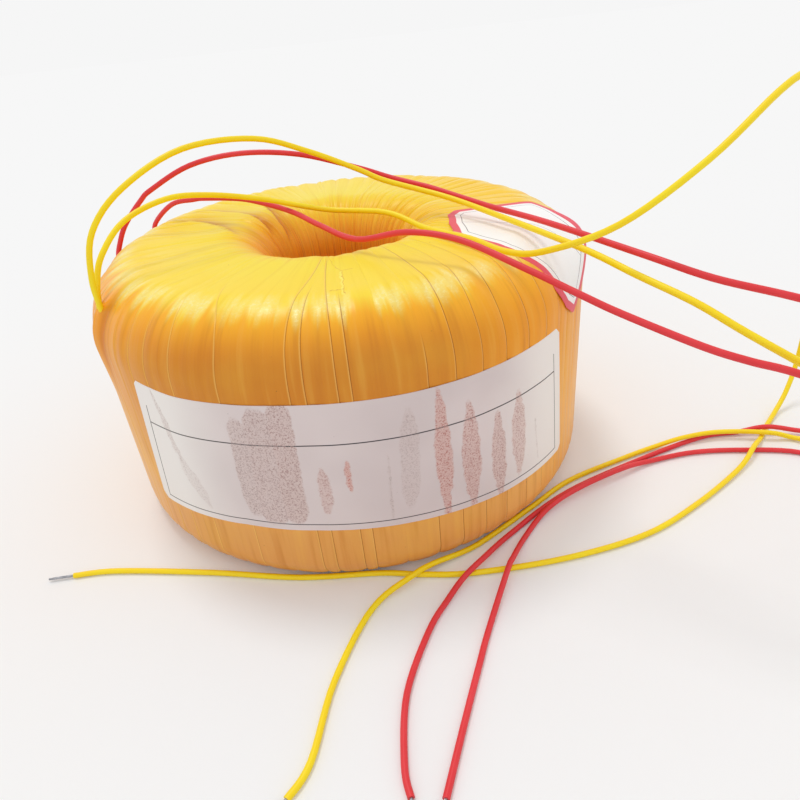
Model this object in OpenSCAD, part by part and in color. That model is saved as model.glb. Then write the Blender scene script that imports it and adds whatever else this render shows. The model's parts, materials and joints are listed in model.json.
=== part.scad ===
// Gapped toroidal interstage transformer, taped all over, with four flying leads.
// The ring stands on its flat underside, centred on the Z axis, and the leads
// spring from its left shoulder, cross the top and come down on the same floor.

/* [Ring] */
// Outside diameter over the last tape
outer_d = 170; // [150:1:190]
// Height over the last tape
height = 88; // [80:1:96]
// Diameter of the centre hole
hole_d = 45; // [40:0.5:50]

/* [Build-up over the core] */
// Thickness of windings and tape on the outer wall
outer_build = 5; // [4.75:0.25:7]
// Thickness of windings and tape on the top and the underside
flat_build = 11; // [11:0.5:13]
// Thickness of windings and tape in the hole
bore_build = 7.5; // [6.5:0.25:9]
// Radius of the finished upper outer shoulder
shoulder_r = 20; // [17:1:22]
// Radius of the finished mouth of the hole
mouth_r = 17; // [12:1:18]
// Radius of the finished lower outer edge
foot_r = 10; // [6:1:12]
// Thickness of each of the two spacers in the cut core
gap = 0.15; // [0.1:0.05:0.5]

/* [Outer tape] */
// Turns of tape round the ring
tape_turns = 72; // [48:1:80]
// Height of the step at each tape edge
lap_step = 0.25; // [0.1:0.05:0.35]
// Turn of each tape edge from the outer wall to the mouth of the hole
lap_slant = 7; // [0:1:10]

/* [Labels] */
// Height of the rating label
label_h = 43.5; // [30:0.5:46]
// Height of its lower edge above the floor
label_z = 21.5; // [18:0.5:24]
// Angle that it spans
label_angle = 98; // [60:1:110]
// Thickness of the paper
paper = 0.15; // [0.1:0.05:0.3]

/* [Leads] */
// Diameter over the insulation
lead_d = 1.8; // [1.4:0.1:2]
// Diameter of the stranded conductor
wire_d = 0.9; // [0.6:0.1:1.1]
// Length of bare conductor at each end
bare_len = 8; // [4:1:12]

/* [Hidden] */
$fn = 64;

// How far each layer reaches through the build-up, from 0 on the core to 1 outside.
LAYERS = [0, 0.10, 0.29, 0.33, 0.62, 0.66, 0.85, 0.88, 1];
WRAP = 7;            // index in LAYERS of the outer tape's inner face
CORE_EDGE_R = 1.5;   // rounding of the core's and the insulation's edges
HOLE_FOOT_R = 8;     // rounding of the lower edge of the hole
TOP_STEPS = 6;       // facets round each upper edge
FOOT_STEPS = 4;      // facets round each lower edge

outer_r = outer_d / 2;
hole_r = hole_d / 2;
lead_r = lead_d / 2;
pitch = 360 / tape_turns;
label_base = min(label_z, height - shoulder_r - label_h);  // it stays on the straight wall

SPLICE_R = 1.1;
SPLICE_L = 6;
HOLE_GAP = 0.3;  // round a lead where it leaves the tape

function mix(a, b, t) = a + (b - a) * t;

// Quarter circle of radius r about [cx, cz], from angle a on, in n steps.
function quarter(cx, cz, r, a, n) =
    [for (k = [0:n]) [cx + r * cos(a + 90 * k / n), cz + r * sin(a + 90 * k / n)]];

// Closed outline of the ring's section, part f of the way out from the core.
// The hole and the underside can lie deeper by spare, for cuts to trim them true.
function section(f, spare = 0) =
    let (
        r1 = outer_r - outer_build * (1 - f),
        r0 = hole_r + bore_build * (1 - f) - spare,
        z1 = height - flat_build * (1 - f),
        z0 = flat_build * (1 - f) - spare,
        foot = mix(CORE_EDGE_R, foot_r, f),
        shoulder = mix(CORE_EDGE_R, shoulder_r, f),
        mouth = mix(CORE_EDGE_R, mouth_r, f),
        heel = mix(CORE_EDGE_R, HOLE_FOOT_R, f)
    )
    concat(
        quarter(r1 - foot, z0 + foot, foot, -90, FOOT_STEPS),
        quarter(r1 - shoulder, z1 - shoulder, shoulder, 0, TOP_STEPS),
        quarter(r0 + mouth, z1 - mouth, mouth, 90, TOP_STEPS),
        quarter(r0 + heel, z0 + heel, heel, 180, FOOT_STEPS)
    );

module ring(f) {
    rotate_extrude() polygon(section(f));
}

// One layer of the build-up, from LAYERS[k] out to LAYERS[k + 1].
module layer(k) {
    difference() {
        ring(LAYERS[k + 1]);
        ring(LAYERS[k]);
        lead_holes();
    }
}

/* ---- leads: where they leave the tape and how they run ---- */

// Routes at the drawn size of the ring: x and y as drawn, z above a lead that
// lies on the floor. Each starts on its splice, straight up out of the shoulder.
DRAWN_D = 170;
DRAWN_H = 88;

YELLOW_1 = [
    [-71.5, -39, 75], [-71.5, -39, 79.5], [-71.5, -38, 89.5], [-68.5, -34, 101.5],
    [-59, -26.5, 111], [-42, -14.5, 118], [-21.5, -3, 117], [-5, 2, 110.5], [10.5, 2.5, 103],
    [18.5, 0.5, 99], [30.5, -5.5, 95.5], [37, -11, 94], [45, -20.5, 92], [64, -61.5, 89],
    [72.5, -81.5, 86.5], [80.5, -94.5, 83.5], [88, -103.5, 79], [96.5, -110.5, 74],
    [113, -117.5, 64], [133.5, -118, 51], [156, -108.5, 35], [171, -88.5, 18.5],
    [171.5, -68, 7], [159, -50.5, 0.5], [149.5, -46, 2], [133, -41, 2], [119, -41, 2],
    [106, -42, 0.3], [92.5, -45.5, 0], [70, -53, 0], [53, -63.5, 0], [31, -77, 0],
    [15.5, -83.5, 1.5], [8.5, -87.5, 2], [-4.5, -95.5, 0], [-16.5, -117, 0], [-23, -137.5, 0],
    [-28.5, -145, 0]
];
YELLOW_2 = [
    [-73, -36, 75], [-73, -36, 79.5], [-72, -34, 86.5], [-69.5, -30, 93.5], [-63, -21, 100.5],
    [-51.5, -11.5, 103.5], [-40, -5, 102], [-23.5, -1.5, 98], [-2, -4, 92.5],
    [17.5, -13.5, 91.5], [28.5, -26.5, 88.5], [38.5, -43.5, 89], [46, -58, 88.5],
    [53.5, -67, 90.5], [68.5, -77.5, 98.5], [87, -80.5, 112], [105, -75, 124],
    [114.5, -70.5, 127], [127, -63, 127], [144, -51, 119], [160.5, -37, 100],
    [171.5, -24.5, 73], [176, -18, 43.5], [173.5, -21.5, 16.5], [168, -26.5, 6],
    [161.5, -31.5, 1], [153, -39, 0], [146.5, -45.5, 0], [139, -52.5, 2.3], [128.5, -61, 0.5],
    [106.5, -74, 0], [84, -84, 0], [56.5, -88.5, 0], [28, -88.5, 0], [12.5, -86, 0],
    [-1, -82.5, 0], [-26, -79, 0], [-54, -71, 0], [-85.5, -63.5, 0], [-100, -62.5, 0]
];
RED_1 = [
    [-80, 15, 75], [-80, 15, 79.5], [-78, 15, 84.5], [-74, 15, 91], [-66.5, 15, 98.5],
    [-61.5, 14.5, 102], [-46.5, 14, 108.5], [-28.5, 14, 110.5], [-8.5, 13.5, 108],
    [11, 10, 102], [21, 6.5, 98.5], [26.5, 3.5, 97], [31, 0, 96], [35.5, -4, 95],
    [49.5, -22.5, 92], [61, -45.5, 91.5], [76.5, -76.5, 89.5], [87, -90.5, 87],
    [100.5, -101, 84.5], [117, -108.5, 79.5], [135.5, -111.5, 70], [153.5, -108, 56.5],
    [170, -96.5, 38], [178, -78, 19.5], [174.5, -59, 6.5], [163, -47, 1], [150.5, -42.5, 2.3],
    [140, -40.5, 0.3], [126, -40, 0], [97, -48, 0], [67, -59, 0], [44, -73.5, 0], [31, -85, 2],
    [23.5, -91, 1.5], [17, -97.5, 0], [10, -107, 0], [1.5, -124.5, 0], [-1.5, -142, 0],
    [-1, -149.5, 0]
];
RED_2 = [
    [-71.5, 39, 75], [-71.5, 39, 79.5], [-69, 36.5, 85.5], [-59.5, 29.5, 93], [-50, 23.5, 95],
    [-45.5, 21, 95.5], [-31.5, 13, 95.5], [-21, 5, 94], [-12.5, -4, 92.5], [-4.5, -17.5, 91],
    [6, -37.5, 91], [19.5, -50, 95], [32.5, -59.5, 94], [46.5, -74, 89], [56.5, -85, 85],
    [64, -92.5, 82], [77.5, -105, 77.5], [85.5, -111, 75.5], [94, -115.5, 73.5],
    [112.5, -122, 66], [131.5, -123.5, 55.5], [149, -118.5, 43], [163.5, -104.5, 28],
    [169.5, -87.5, 15.5], [166.5, -71, 6.5], [154, -57, 0], [136.5, -51, 0], [119, -48, 0],
    [102, -49.5, 0.3], [88.5, -53.5, 2], [69.5, -60.5, 2], [57, -67, 1], [47, -76.5, 0],
    [40, -86.5, 2], [37, -91, 2], [27, -108.5, 0], [21, -120.5, 0], [14, -135, 0],
    [6.5, -151, 0]
];
ROUTES = [YELLOW_1, YELLOW_2, RED_1, RED_2];
LEAD_COLOURS = ["gold", "gold", "crimson", "crimson"];
SIDES = 8;
BETWEEN = 2;  // rings for each step of a route

lowest = lead_r / cos(180 / SIDES) + 0.01;  // axis of a lead that lies on the floor

function placed(p) = [
    p.x * outer_d / DRAWN_D, p.y * outer_d / DRAWN_D, lowest + p.z * height / DRAWN_H
];
function above_floor(p) = [p.x, p.y, max(p.z, lowest)];

// Point t of the way from b to c, on the smooth curve through a, b, c and d.
function through(a, b, c, d, t) = (
    2 * b + (c - a) * t + (2 * a - 5 * b + 4 * c - d) * t * t
    + (3 * b - 3 * c + d - a) * t * t * t
) / 2;

function line_of(route) =
    let (p = [for (q = route) placed(q)], last = len(p) - 1)
    concat(
        [for (i = [0:last - 1], k = [0:BETWEEN - 1])
            above_floor(
                through(p[max(i - 1, 0)], p[i], p[i + 1], p[min(i + 2, last)], k / BETWEEN)
            )],
        [p[last]]
    );

function unit(v) = v / norm(v);
function along(line, i) =
    unit(line[min(i + 1, len(line) - 1)] - line[max(i - 1, 0)]);

// A direction square to the line at each point, carried along it with no twist.
function carried(line, i, n) =
    let (t = along(line, i), side = unit(n - (n * t) * t))
    i == len(line) - 1 ? [side] : concat([side], carried(line, i + 1, side));

module tube(line, r) {
    sides = carried(line, 0, [1, 0, 0]);
    rings = len(line);
    points = [for (i = [0:rings - 1], k = [0:SIDES - 1])
        let (n = sides[i], b = cross(along(line, i), n), a = 360 * (k + 0.5) / SIDES)
        line[i] + r / cos(180 / SIDES) * (n * cos(a) + b * sin(a))];
    walls = [for (i = [0:rings - 2], k = [0:SIDES - 1])
        let (j = (k + 1) % SIDES)
        [i * SIDES + k, (i + 1) * SIDES + k, (i + 1) * SIDES + j, i * SIDES + j]];
    start = [for (k = [0:SIDES - 1]) k];
    end = [for (k = [SIDES - 1:-1:0]) (rings - 1) * SIDES + k];
    polyhedron(points, concat([start], walls, [end]), convexity = 10);
}

function splice_top(n) = placed(ROUTES[n][0]);

module lead_holes() {
    for (n = [0:3]) {
        p = splice_top(n);
        translate(p) cylinder(r = lead_r + HOLE_GAP, h = height);
        translate([p.x, p.y, p.z - SPLICE_L]) cylinder(r = SPLICE_R, h = SPLICE_L);
    }
}

/* ---- core and windings ---- */

module core_half(turn) {
    color("dimgray") rotate(turn) difference() {
        ring(LAYERS[0]);
        translate([-outer_d, -outer_d + gap / 2, -1]) cube([2 * outer_d, outer_d, height + 2]);
    }
}

module gap_spacer(turn) {
    rotate(turn) color("wheat") intersection() {
        ring(LAYERS[0]);
        translate([0, -gap / 2, 0]) cube([outer_d, gap, height]);
    }
}

module core_insulation() { color("khaki") layer(0); }
module primary_a_winding() { color("sienna") layer(1); }
module barrier_tape_inner() { color("khaki") layer(2); }
module secondary_winding() { color("peru") layer(3); }
module barrier_tape_outer() { color("khaki") layer(4); }
module primary_b_winding() { color("sienna") layer(5); }
module under_wrap() { color("goldenrod") layer(6); }

/* ---- outer tape, lapped turn over turn ---- */

SPARE = 0.3;        // that the bore and the underside are trimmed by
FINE = 180;         // facets of a round cut in the lapped ring
OUTLINE = section(1, SPARE);
ROWS = len(OUTLINE);
STEP_SHARE = 0.08;  // of a turn's width that its stepped edge takes
UNEVEN = 0.3;       // of a turn's width that hand winding strays by

function turn_angle(t) = pitch * (t + UNEVEN * sin(137.5 * t));

// How much of the step shows at height z and radius r: none in the hole or underneath.
function lap_share(p) =
    p.x < hole_r || p.y < 0 ? 0 :
    p.y < foot_r ? p.y / foot_r :
    min(1, (p.x - hole_r) / mouth_r);

// Share of the slant: none on the outer wall, all of it at the mouth of the hole.
function slant_share(p) = min(1, max(0, (outer_r - p.x) / (outer_r - hole_r - mouth_r / 2)));

function outward(i) =
    let (d = OUTLINE[(i + 1) % ROWS] - OUTLINE[(i + ROWS - 1) % ROWS])
    [d.y, -d.x] / norm(d);

function lapped_point(i, angle, sunk) =
    let (
        p = OUTLINE[i] - outward(i) * lap_step * sunk * lap_share(OUTLINE[i]),
        a = angle + lap_slant * slant_share(OUTLINE[i])
    )
    [p.x * cos(a), p.x * sin(a), p.y];

module lapped_ring() {
    columns = 2 * tape_turns;
    points = [for (t = [0:tape_turns - 1], sunk = [1, 0], i = [0:ROWS - 1])
        lapped_point(
            i,
            sunk == 1 ? turn_angle(t) : turn_angle(t + 1) - pitch * STEP_SHARE,
            sunk
        )];
    faces = [for (c = [0:columns - 1], i = [0:ROWS - 1])
        let (
            d = (c + 1) % columns,
            j = (i + 1) % ROWS,
            here = [c * ROWS + i, c * ROWS + j],
            next = [d * ROWS + i, d * ROWS + j]
        )
        each [[here[0], here[1], next[1]], [here[0], next[1], next[0]]]];
    polyhedron(points, faces, convexity = 10);
}

module outer_wrap() {
    color("orange") difference() {
        lapped_ring();
        ring(LAYERS[WRAP], $fn = FINE);
        cylinder(r = hole_r, h = 3 * height, center = true, $fn = FINE);
        translate([-outer_d, -outer_d, -height]) cube([2 * outer_d, 2 * outer_d, height]);
        lead_holes();
    }
}

/* ---- labels ---- */

module rating_label() {
    color("gainsboro")
    rotate(-90 - label_angle / 2)
    rotate_extrude(angle = label_angle)
    translate([outer_r, label_base]) square([paper, label_h]);
}

// The inspection sticker lies over the shoulder. Distances are measured outwards
// along the section from the crest, and angles round the ring.
STICKER_LEFT = [
    [5, -17], [7.5, -30], [14, -43], [22, -46], [33, -48], [40, -47], [46, -45],
    [53, -44], [60, -41], [64, -37]
];
STICKER_RIGHT = [[5, -16], [7, -9], [16, -7], [34, -5], [40, -10], [53, -23], [64, -36]];
STICKER_IN = 5;
STICKER_OUT = 64;
STICKER_ROWS = 20;
STICKER_COLUMNS = 10;
GLUE = 0.08;  // under the sticker
CREST_R = 35;

function over_shoulder(s, lift) =
    let (
        flat = outer_r - shoulder_r - CREST_R,
        a = min(90, max(0, (s - flat) / shoulder_r * 180 / PI)),
        drop = max(0, s - flat - shoulder_r * PI / 2)
    )
    [
        min(CREST_R + s, outer_r - shoulder_r) + (shoulder_r + lift) * sin(a),
        height - shoulder_r + (shoulder_r + lift) * cos(a) - drop
    ];

module inspection_sticker() {
    rows = STICKER_ROWS + 1;
    cols = STICKER_COLUMNS + 1;
    points = [for (lift = [GLUE, GLUE + paper], i = [0:STICKER_ROWS], k = [0:STICKER_COLUMNS])
        let (
            s = mix(STICKER_IN, STICKER_OUT, i / STICKER_ROWS),
            a = mix(lookup(s, STICKER_LEFT), lookup(s, STICKER_RIGHT), k / STICKER_COLUMNS),
            p = over_shoulder(s, lift)
        )
        [p.x * cos(a), p.x * sin(a), p.y]];
    top = rows * cols;
    sheets = [for (i = [0:STICKER_ROWS - 1], k = [0:STICKER_COLUMNS - 1])
        let (a = i * cols + k, b = a + 1, c = a + cols + 1, d = a + cols)
        each [[a, b, c], [a, c, d], [top + c, top + b, top + a], [top + d, top + c, top + a]]];
    round_edge = concat(
        [for (k = [0:STICKER_COLUMNS]) k],
        [for (i = [1:STICKER_ROWS]) i * cols + STICKER_COLUMNS],
        [for (k = [STICKER_COLUMNS - 1:-1:0]) STICKER_ROWS * cols + k],
        [for (i = [STICKER_ROWS - 1:-1:1]) i * cols]
    );
    edges = [for (n = [0:len(round_edge) - 1])
        let (a = round_edge[n], b = round_edge[(n + 1) % len(round_edge)])
        each [[b, a, top + a], [b, top + a, top + b]]];
    color("mistyrose") polyhedron(points, concat(sheets, edges), convexity = 4);
}

/* ---- leads ---- */

module splice(n) {
    p = splice_top(n);
    color("white") translate([p.x, p.y, p.z - SPLICE_L]) cylinder(r = SPLICE_R, h = SPLICE_L);
}

module lead(n) {
    color(LEAD_COLOURS[n]) tube(line_of(ROUTES[n]), lead_r);
}

module conductor(n) {
    line = line_of(ROUTES[n]);
    p = line[len(line) - 1];
    d = along(line, len(line) - 1);
    color("silver") translate(p) rotate([0, acos(d.z), atan2(d.y, d.x)])
        cylinder(d = wire_d, h = bare_len);
}

core_half(180);  // core_half_front
core_half(0);  // core_half_back
gap_spacer(180);  // gap_spacer_left
gap_spacer(0);  // gap_spacer_right
core_insulation();
primary_a_winding();
barrier_tape_inner();
secondary_winding();
barrier_tape_outer();
primary_b_winding();
under_wrap();
outer_wrap();
rating_label();
inspection_sticker();
splice(0);  // splice_yellow_1
splice(1);  // splice_yellow_2
splice(2);  // splice_red_1
splice(3);  // splice_red_2
lead(0);  // lead_yellow_1
lead(1);  // lead_yellow_2
lead(2);  // lead_red_1
lead(3);  // lead_red_2
conductor(0);  // conductor_yellow_1
conductor(1);  // conductor_yellow_2
conductor(2);  // conductor_red_1
conductor(3);  // conductor_red_2
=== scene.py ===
import bpy
import bmesh
import json
import math
import random
from mathutils import Matrix, Vector, noise


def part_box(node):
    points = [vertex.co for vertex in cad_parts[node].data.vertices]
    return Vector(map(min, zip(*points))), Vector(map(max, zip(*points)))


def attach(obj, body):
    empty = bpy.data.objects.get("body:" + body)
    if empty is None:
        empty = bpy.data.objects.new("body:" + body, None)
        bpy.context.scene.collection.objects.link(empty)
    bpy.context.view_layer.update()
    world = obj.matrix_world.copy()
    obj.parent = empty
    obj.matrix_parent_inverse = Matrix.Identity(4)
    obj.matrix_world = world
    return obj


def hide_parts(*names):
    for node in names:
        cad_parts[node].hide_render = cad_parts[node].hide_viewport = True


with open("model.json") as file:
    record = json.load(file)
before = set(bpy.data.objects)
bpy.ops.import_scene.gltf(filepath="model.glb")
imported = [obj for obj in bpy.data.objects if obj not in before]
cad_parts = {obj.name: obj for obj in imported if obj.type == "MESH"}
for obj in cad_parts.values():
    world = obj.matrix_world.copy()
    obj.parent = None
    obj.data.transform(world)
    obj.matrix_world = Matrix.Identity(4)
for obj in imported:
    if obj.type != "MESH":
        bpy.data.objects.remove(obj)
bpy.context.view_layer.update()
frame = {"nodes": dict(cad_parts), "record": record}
MM = 0.001   # sizes are written in mm, and this makes them metres

# ---------------------------------------------------------------- camera

CAMERA_PLACE = (0, -0.2238168, 0.1477840)   # in metres
LENS, SENSOR = 28.564, 36.0
TURN, TILT, ROLL = math.radians(-4.2673), math.radians(90 - 31.1920), math.radians(-5.8953)

camera_data = bpy.data.cameras.new("camera")
camera_data.lens = LENS
camera_data.sensor_width = SENSOR
camera_data.clip_start = 0.01
camera = bpy.data.objects.new("camera", camera_data)
bpy.context.scene.collection.objects.link(camera)
camera.matrix_world = (
    Matrix.Translation(CAMERA_PLACE)
    @ Matrix.Rotation(TURN, 4, "Z")
    @ Matrix.Rotation(TILT, 4, "X")
    @ Matrix.Rotation(ROLL, 4, "Z")
)
bpy.context.scene.camera = camera

# ---------------------------------------------------------------- leads

LEAD_D = 1.8                                         # over the insulation
LOWEST = LEAD_D / 2 / math.cos(math.pi / 8) + 0.01   # height of the axis of a lead on the floor

# The axis of each lead, from its splice under the tape to where its insulation is cut. The third
# number of a point is its height over that of a lead on the floor.
ROUTES = {
    "yellow_1": [
        (-71.5, -39, 75), (-71.5, -39, 79.5), (-71.5, -38, 89.5), (-68.5, -34, 101.5),
        (-59, -26.5, 111), (-42, -14.5, 118), (-21.5, -3, 117), (-5, 2, 110.5),
        (10.5, 2.5, 103), (18.5, 0.5, 99), (30.5, -5.5, 95.5), (37, -11, 94), (45, -20.5, 92),
        (64, -61.5, 89), (72.5, -81.5, 86.5), (80.5, -94.5, 83.5), (88, -103.5, 79),
        (96.5, -110.5, 74), (113, -117.5, 64), (133.5, -118, 51), (156, -108.5, 35),
        (171, -88.5, 18.5), (171.5, -68, 7), (159, -50.5, 0.5), (149.5, -46, 2), (133, -41, 2),
        (119, -41, 2), (106, -42, 0.3), (92.5, -45.5, 0), (70, -53, 0), (53, -63.5, 0),
        (31, -77, 0), (15.5, -83.5, 1.5), (8.5, -87.5, 2), (-4.5, -95.5, 0), (-16.5, -117, 0),
        (-23, -137.5, 0), (-28.5, -145, 0),
    ],
    "yellow_2": [
        (-73, -36, 75), (-73, -36, 79.5), (-72, -34, 86.5), (-69.5, -30, 93.5),
        (-63, -21, 100.5), (-51.5, -11.5, 103.5), (-40, -5, 102), (-23.5, -1.5, 98),
        (-2, -4, 92.5), (17.5, -13.5, 91.5), (28.5, -26.5, 88.5), (38.5, -43.5, 89),
        (46, -58, 88.5), (53.5, -67, 90.5), (68.5, -77.5, 98.5), (87, -80.5, 112),
        (105, -75, 124), (114.5, -70.5, 127), (127, -63, 127), (144, -51, 119),
        (160.5, -37, 100), (171.5, -24.5, 73), (176, -18, 43.5), (173.5, -21.5, 16.5),
        (168, -26.5, 6), (161.5, -31.5, 1), (153, -39, 0), (146.5, -45.5, 0), (139, -52.5, 2.3),
        (128.5, -61, 0.5), (106.5, -74, 0), (84, -84, 0), (56.5, -88.5, 0), (28, -88.5, 0),
        (12.5, -86, 0), (-1, -82.5, 0), (-26, -79, 0), (-54, -71, 0), (-85.5, -63.5, 0),
        (-100, -62.5, 0),
    ],
    "red_1": [
        (-80, 15, 75), (-80, 15, 79.5), (-78, 15, 84.5), (-74, 15, 91), (-66.5, 15, 98.5),
        (-61.5, 14.5, 102), (-46.5, 14, 108.5), (-28.5, 14, 110.5), (-8.5, 13.5, 108),
        (11, 10, 102), (21, 6.5, 98.5), (26.5, 3.5, 97), (31, 0, 96), (35.5, -4, 95),
        (49.5, -22.5, 92), (61, -45.5, 91.5), (76.5, -76.5, 89.5), (87, -90.5, 87),
        (100.5, -101, 84.5), (117, -108.5, 79.5), (135.5, -111.5, 70), (153.5, -108, 56.5),
        (170, -96.5, 38), (178, -78, 19.5), (174.5, -59, 6.5), (163, -47, 1),
        (150.5, -42.5, 2.3), (140, -40.5, 0.3), (126, -40, 0), (97, -48, 0), (67, -59, 0),
        (44, -73.5, 0), (31, -85, 2), (23.5, -91, 1.5), (17, -97.5, 0), (10, -107, 0),
        (1.5, -124.5, 0), (-1.5, -142, 0), (-1, -149.5, 0),
    ],
    "red_2": [
        (-71.5, 39, 75), (-71.5, 39, 79.5), (-69, 36.5, 85.5), (-59.5, 29.5, 93),
        (-50, 23.5, 95), (-45.5, 21, 95.5), (-31.5, 13, 95.5), (-21, 5, 94), (-12.5, -4, 92.5),
        (-4.5, -17.5, 91), (6, -37.5, 91), (19.5, -50, 95), (32.5, -59.5, 94), (46.5, -74, 89),
        (56.5, -85, 85), (64, -92.5, 82), (77.5, -105, 77.5), (85.5, -111, 75.5),
        (94, -115.5, 73.5), (112.5, -122, 66), (131.5, -123.5, 55.5), (149, -118.5, 43),
        (163.5, -104.5, 28), (169.5, -87.5, 15.5), (166.5, -71, 6.5), (154, -57, 0),
        (136.5, -51, 0), (119, -48, 0), (102, -49.5, 0.3), (88.5, -53.5, 2), (69.5, -60.5, 2),
        (57, -67, 1), (47, -76.5, 0), (40, -86.5, 2), (37, -91, 2), (27, -108.5, 0),
        (21, -120.5, 0), (14, -135, 0), (6.5, -151, 0),
    ],
}
# The angle round the ring at which each lead comes out, in degrees.
EXITS = {name: math.degrees(math.atan2(route[0][1], route[0][0]))
         for name, route in ROUTES.items()}


def through(a, b, c, d, t):
    """The point t of the way from b to c, on the smooth curve through a, b, c and d."""
    return (2 * b + (c - a) * t + (2 * a - 5 * b + 4 * c - d) * t * t
            + (3 * b - 3 * c + d - a) * t ** 3) / 2


def lead_line(route, between=6):
    """The axis of a lead in metres: smooth through its points, and never under the floor."""
    points = [Vector((x, y, z + LOWEST)) for x, y, z in route]
    last = len(points) - 1
    line = []
    for i in range(last):
        for k in range(between):
            p = through(points[max(i - 1, 0)], points[i], points[i + 1],
                        points[min(i + 2, last)], k / between)
            line.append(Vector((p.x, p.y, max(p.z, LOWEST))) * MM)
    line.append(points[last] * MM)
    return line


def make_lead(name, route):
    """One flying lead, from its splice under the tape to where its insulation is cut."""
    line = lead_line(route)
    data = bpy.data.curves.new("lead_" + name + "_sleeve", "CURVE")
    data.dimensions = "3D"
    data.bevel_depth = LEAD_D / 2 * MM
    data.bevel_resolution = 3
    data.use_fill_caps = True
    spline = data.splines.new("POLY")
    spline.points.add(len(line) - 1)
    for point, place in zip(spline.points, line):
        point.co = (*place, 1)
    spline.use_smooth = True
    lead = bpy.data.objects.new("insulation_" + name, data)
    bpy.context.scene.collection.objects.link(lead)
    bpy.ops.object.select_all(action="DESELECT")
    lead.select_set(True)
    bpy.context.view_layer.objects.active = lead
    bpy.ops.object.convert(target="MESH")
    lead = bpy.context.active_object
    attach(lead, "root")
    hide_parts("lead_" + name)
    length = sum((b - a).length for a, b in zip(line, line[1:]))
    return lead, line, length


leads = {name: make_lead(name, route) for name, route in ROUTES.items()}

# ---------------------------------------------------------------- shader maths


def shade(red, green, blue):
    """A colour as it looks on a screen, 0 to 255, for a colour socket."""
    return tuple((c / 255 / 12.92) if c < 11 else ((c / 255 + 0.055) / 1.055) ** 2.4
                 for c in (red, green, blue)) + (1.0,)


class Value:
    """A socket of a finish, so that shader maths reads as plain sums."""

    def __init__(self, finish, socket):
        self.finish, self.socket = finish, socket

    def maths(self, operation, *others):
        """A Math node of this value, with the others after it."""
        return self.finish.add("Math", {"operation": operation}, dict(enumerate((self, *others))))

    def also(self, output):
        """Another output of the node that this one comes from."""
        return Value(self.finish, self.socket.node.outputs[output])

    def __add__(self, other):
        return self.maths("ADD", other)

    def __sub__(self, other):
        return self.maths("SUBTRACT", other)

    def __rsub__(self, other):
        return self.finish.add("Math", {"operation": "SUBTRACT"}, {0: other, 1: self})

    def __mul__(self, other):
        return self.maths("MULTIPLY", other)

    __radd__, __rmul__ = __add__, __mul__

    def step(self, low, high):
        """0 below low, 1 above high, and smooth between them."""
        return self.finish.add("MapRange", {"interpolation_type": "SMOOTHSTEP"},
                               {"Value": self, "From Min": low, "From Max": high})

    def band(self, low, high, soft):
        """1 between low and high, and 0 outside them."""
        return self.step(low - soft, low + soft) * (1 - self.step(high - soft, high + soft))


def strongest(masks):
    """The highest of some masks, place by place."""
    most, *others = masks
    for mask in others:
        most = most.maths("MAXIMUM", mask)
    return most


class Finish:
    """A material or a world made of nodes. Constants go straight to sockets of its shader."""

    def __init__(self, holder, constants=None):
        self.holder = holder
        holder.use_nodes = True
        self.tree = holder.node_tree
        self.tree.nodes.clear()
        self.constants = constants or {}

    def add(self, kind, settings, sockets, output=0):
        """A node of that kind. Its settings come first, then its sockets' values or links."""
        node = self.tree.nodes.new("ShaderNode" + kind)
        for name, value in settings.items():
            if name == "stops":
                ends = node.color_ramp.elements
                ends[0].position, ends[0].color = value[0]
                ends[1].position, ends[1].color = value[-1]
                for position, colour in value[1:-1]:
                    ends.new(position).color = colour
            else:
                setattr(node, name, value)
        for name, value in sockets.items():
            if isinstance(value, Value):
                self.tree.links.new(value.socket, node.inputs[name])
            else:
                node.inputs[name].default_value = value
        return Value(self, node.outputs[output]) if len(node.outputs) else None

    def place(self):
        return self.add("TexCoord", {}, {}, "Object")

    def apart(self, vector):
        """The X of a vector, whose Y and Z are also there."""
        return self.add("SeparateXYZ", {}, {"Vector": vector}, "X")

    def uv(self, name):
        return self.apart(self.add("UVMap", {"uv_map": name}, {}))

    def given(self, name):
        """A value that the mesh carries."""
        return self.add("Attribute", {"attribute_name": name}, {}, "Fac")

    def grain(self, where, scale, detail=3.0, roughness=0.55):
        return self.add("TexNoise", {}, {"Vector": where, "Scale": scale, "Detail": detail,
                                         "Roughness": roughness})

    def colour(self, amount, first, second):
        """The first colour, with that amount of the second over it."""
        return self.add("Mix", {"data_type": "RGBA"}, {0: amount, 6: first, 7: second}, 2)

    def ramp(self, value, *stops):
        return self.add("ValToRGB", {"stops": stops}, {"Fac": value})

    def relief(self, height, depth, strength):
        """Bumps of that depth in metres."""
        return self.add("Bump", {}, {"Height": height, "Distance": depth, "Strength": strength})

    def done(self, **surface):
        """Joins what was worked out to the shader, and hands over the material."""
        names = {"colour": "Base Color", "roughness": "Roughness", "coat": "Coat Weight",
                 "normal": "Normal"}
        sockets = {names[key]: value for key, value in surface.items()}
        sockets.update(self.constants)
        shader = self.add("BsdfPrincipled", {}, sockets)
        self.add("OutputMaterial", {}, {"Surface": shader})
        return self.holder


def new_finish(name, constants=None):
    return Finish(bpy.data.materials.new(name), constants)


def wear(piece, material):
    """Gives a piece its material."""
    piece.data.materials.clear()
    piece.data.materials.append(material)


# ---------------------------------------------------------------- finishes

WALL_R = 85.0      # radius at which distances round the ring are measured
SECTION = 240.0    # about the whole way along the section, of which the tape's zones are shares
FACING = (-0.208, -0.978)   # the way the label's middle faces


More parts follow.
